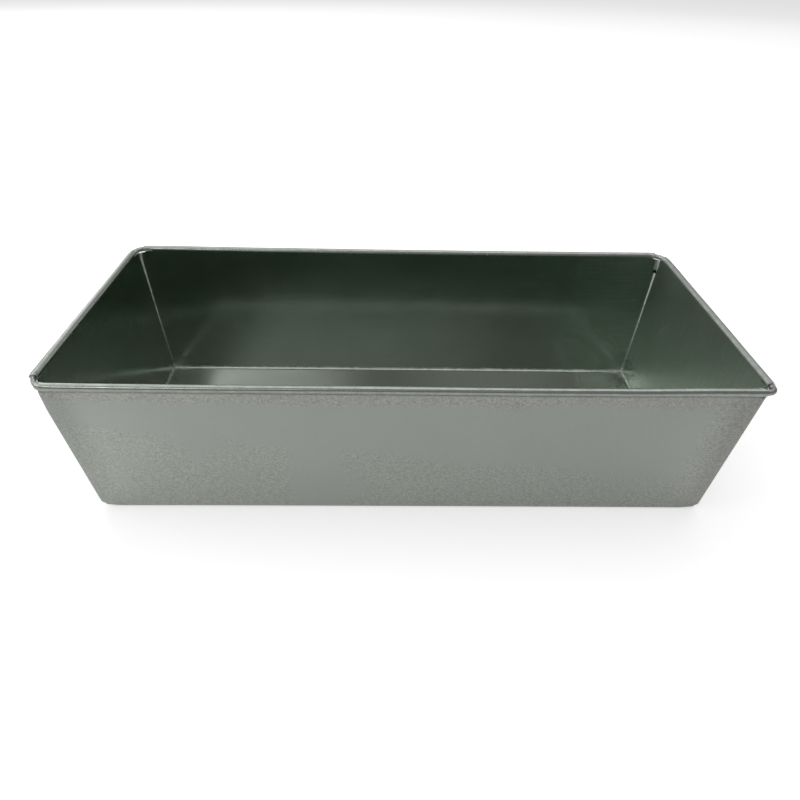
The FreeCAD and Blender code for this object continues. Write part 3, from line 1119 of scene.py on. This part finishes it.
def insideMaterial():
    look = insideFinish
    seed = look["seed"]
    metal, tree, shader = metalShader("sheetInside", look["pale"], 0.25, Anisotropic=look["anisotropy"])
    place = attribute(tree, "blank", "Vector")
    height = effect(wallHeight, place, HalfLength=baseX, HalfWidth=baseY)["Height"]
    patches = effect(mottle, place, Seed=seed, **look["mottle"])
    streaks = effect(rollingGrain, place, Seed=seed, **look["streaks"])["Streaks"]
    lines = effect(scratches, place, Seed=seed, **look["scratches"])["Lines"]
    creases = effect(cornerCreases, place, CornerX=baseX, CornerY=baseY, Seed=seed, **look["creases"])
    wearAndPaintedMarks = effect(edgeRub, place, Worn=attribute(tree, "wearAndPaintedLight", "Fac"), Seed=seed)
    tone = streaks * 0.4 + (patches["Speckle"] * 0.4 + patches["Clouds"] * 0.2)
    colour = mixed(tone, look["dull"], look["pale"])
    colour = mixed(ramp(height, 0.001, 0.0), colour, look["floor"])
    # Painted highlight over rubbed wear on the hems, bends and foot, and rubbed scratches.
    rubbed = ramp(wearAndPaintedMarks["Rub"], 0.0, 0.5)
    colour = mixed(rubbed.math("MAXIMUM", lines * look["scratchShare"]), colour, look["rubbed"])
    colour = mixed(wearAndPaintedMarks["ScuffAndShade"], colour, look["scuffed"])
    # Painted shade: the nick is coloured near black.
    colour = mixed(ramp(wearAndPaintedMarks["ScuffAndShade"], 1.0, 1.05), colour, look["nick"])
    feed(colour, shader["Base Color"])
    dullLow, dullHigh = look["dullFrom"]
    dulled = ramp(axesOf(place)[0], baseX + dullLow, baseX + dullHigh) * look["dullEnd"]
    dulled = dulled * ramp(patches["Speckle"], 0.0, 1.0, *look["dullUneven"])
    rough = dulled + ramp(patches["Clouds"], 0.0, 1.0, *look["roughness"])
    rough = wearAndPaintedMarks["Rub"] * look["rubRoughness"] + rough
    rough = wearAndPaintedMarks["ScuffAndShade"].math("MINIMUM", 1.0) * look["scuffRoughness"] + rough
    feed(rough, shader["Roughness"])
    # Less metallic where the painted highlight lies, so that it reads bright.
    feed(ramp(rubbed, 0.0, 1.0, 1.0, look["rubMetal"]), shader["Metallic"])
    feed(attribute(tree, "grain", "Vector"), shader["Tangent"])
    creased = bumped(creases["Height"], look["creaseBump"])
    grained = bumped(streaks, look["grainBump"], Normal=creased)
    crushed = noiseAt(place, look["crushesPerMetre"], 2.0, seed) * wearAndPaintedMarks["Rub"]
    feed(bumped(crushed, look["crushBump"], Normal=grained), shader["Normal"])
    return metal


cutEdgeFinish = {
    "plain": (0.55, 0.57, 0.54),
    "rubbed": (0.84, 0.86, 0.83),
    "roughness": 0.32,
    "seed": 2.0,
}


def cutEdgeMaterial():
    look = cutEdgeFinish
    metal, tree, shader = metalShader("sheetCutEdge", (0.62, 0.64, 0.61), look["roughness"])
    rubAndHighlight = effect(edgeRub, attribute(tree, "blank", "Vector"), Worn=1.0, Seed=look["seed"])["Rub"]
    feed(mixed(rubAndHighlight, look["plain"], look["rubbed"]), shader["Base Color"])
    return metal


wireFinish = {
    "dark": (0.33, 0.335, 0.325),
    "pale": (0.46, 0.465, 0.45),
    "roughness": (0.3, 0.42),
    "mottle": {"CloudSize": 0.006, "SpeckleSize": 0.0007},
    "seed": 3.0,
}


def wireMaterial():
    look = wireFinish
    metal, tree, shader = metalShader("wireMetal", (0.40, 0.41, 0.40), 0.36)
    place = addNode(tree, "ShaderNodeTexCoord").output("Object")
    patches = effect(mottle, place, Seed=look["seed"], **look["mottle"])
    feed(mixed(patches["Speckle"], look["dark"], look["pale"]), shader["Base Color"])
    feed(ramp(patches["Clouds"], 0.0, 1.0, *look["roughness"]), shader["Roughness"])
    return metal


panSheet = makeSheet([outsideMaterial(), insideMaterial(), cutEdgeMaterial()])
print("sheet folded:", len(panSheet.data.polygons), "faces")
rimWire = makeWire(wireMaterial())
print("wire bent:", len(rimWire.data.polygons), "faces")

for piece, node in ((panSheet, "pan_sheet"), (rimWire, "rim_wire")):
    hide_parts(node)
    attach(piece, "root")

# Each panel: its middle, what it faces, its width and height in metres, and its power in watts.
studio = {
    "floorSize": 12.0,
    "floorColour": (0.86, 0.86, 0.86),
    "cameraGlow": 0.5,
    "mirrorGlow": 0.1,
    "room": 0.26,
    "panels": {
        "ceiling": ((0, 0.55, 1.5), (0, 0.55, 0), (3.0, 1.9), 16.0),
        "backPanel": ((-0.6, 2.2, 1.15), (0, 0, 0.5), (2.0, 1.5), 4.0),
        "backLeftPanel": ((-1.33, 1.77, 1.05), (0, 0, 0.3), (0.6, 1.0), 2.8),
        "backRightPanel": ((1.5, 2.1, 0.95), (0, 0, 0.3), (0.8, 0.9), 1.1),
        "leftPanel": ((-1.7, -0.1, 0.95), (0, 0, 0.05), (1.6, 1.0), 8.0),
        "keyPanel": ((-0.55, -1.1, 1.15), (0, 0, 0.05), (0.75, 0.5), 0.98),
        "frontLeftPanel": ((-0.95, -1.15, 1.2), (0, 0, 0.05), (0.6, 0.45), 1.55),
        "frontRightPanel": ((0.33, -1.1, 1.15), (0, 0, 0.05), (0.5, 0.5), 0.17),
    },
}


def makeFloor():
    half = studio["floorSize"] / 2
    mesh = bpy.data.meshes.new("floor")
    corners = [(x * half, y * half, 0) for x, y in cornerSigns]
    mesh.from_pydata(corners, [], [(0, 1, 2, 3)])
    material = bpy.data.materials.new("floorPaper")
    material.use_nodes = True
    tree = material.node_tree
    tree.nodes.remove(tree.nodes["Principled BSDF"])
    path = addNode(tree, "ShaderNodeLightPath")
    seen = path.output("Is Camera Ray") * studio["cameraGlow"]
    mirrored = path.output("Is Glossy Ray") * studio["mirrorGlow"]
    paper = addNode(tree, "ShaderNodeBsdfDiffuse", {"Color": studio["floorColour"]})
    glow = addNode(tree, "ShaderNodeEmission", {"Color": (1, 1, 1), "Strength": seen + mirrored})
    both = addNode(tree, "ShaderNodeAddShader", {0: paper, 1: glow})
    feed(both, tree.nodes["Material Output"].inputs["Surface"])
    mesh.materials.append(material)
    floor = linked("floor", mesh)
    floor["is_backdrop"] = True


def panelLight(name, place, aim, size, watts):
    data = bpy.data.lights.new(name, "AREA")
    data.shape = "RECTANGLE"
    data.size, data.size_y = size
    data.energy = watts
    lamp = linked(name, data)
    lamp.location = place
    direction = Vector(aim) - Vector(place)
    lamp.rotation_euler = direction.to_track_quat("-Z", "Y").to_euler()


def makeWorld():
    world = bpy.data.worlds.new("room")
    bpy.context.scene.world = world
    world.use_nodes = True
    background = world.node_tree.nodes["Background"].inputs
    feed((1, 1, 1), background["Color"])
    feed(studio["room"], background["Strength"])


makeFloor()
makeWorld()
for name, values in studio["panels"].items():
    panelLight(name, *values)

# The camera's place in metres, and its turns in degrees: yaw to the right, pitch up, roll.
view = {
    "place": (-8.58 * mm, -259.2 * mm, 220.55 * mm),
    "yaw": radians(1.70),
    "pitch": radians(-37.64),
    "roll": radians(1.51),
    "sensor": 36,
    "lens": 27.162,  # both in millimetres
}


def makeCamera():
    data = bpy.data.cameras.new("camera")
    data.sensor_width = view["sensor"]
    data.lens = view["lens"]
    data.clip_start = 0.01
    camera = linked("camera", data)
    yaw, pitch, tilt = view["yaw"], view["pitch"], view["roll"]
    ahead = Vector((sin(yaw) * cos(pitch), cos(yaw) * cos(pitch), sin(pitch)))
    right = Vector((cos(yaw), -sin(yaw), 0))
    up = right.cross(ahead)
    right, up = cos(tilt) * right + sin(tilt) * up, cos(tilt) * up - sin(tilt) * right
    turn = Matrix((right, up, -ahead)).transposed()
    camera.matrix_world = Matrix.Translation(view["place"]) @ turn.to_4x4()
    bpy.context.scene.camera = camera


makeCamera()
scene = bpy.context.scene
scene.view_settings.view_transform = "Standard"
scene.cycles.glossy_bounces = 8
scene.cycles.max_bounces = 12
print("stage set")

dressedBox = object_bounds()
for label, box in (("CAD", cadBox), ("visual", dressedBox)):
    print(label, "box in mm:", [[round(v / mm, 3) for v in corner] for corner in box])
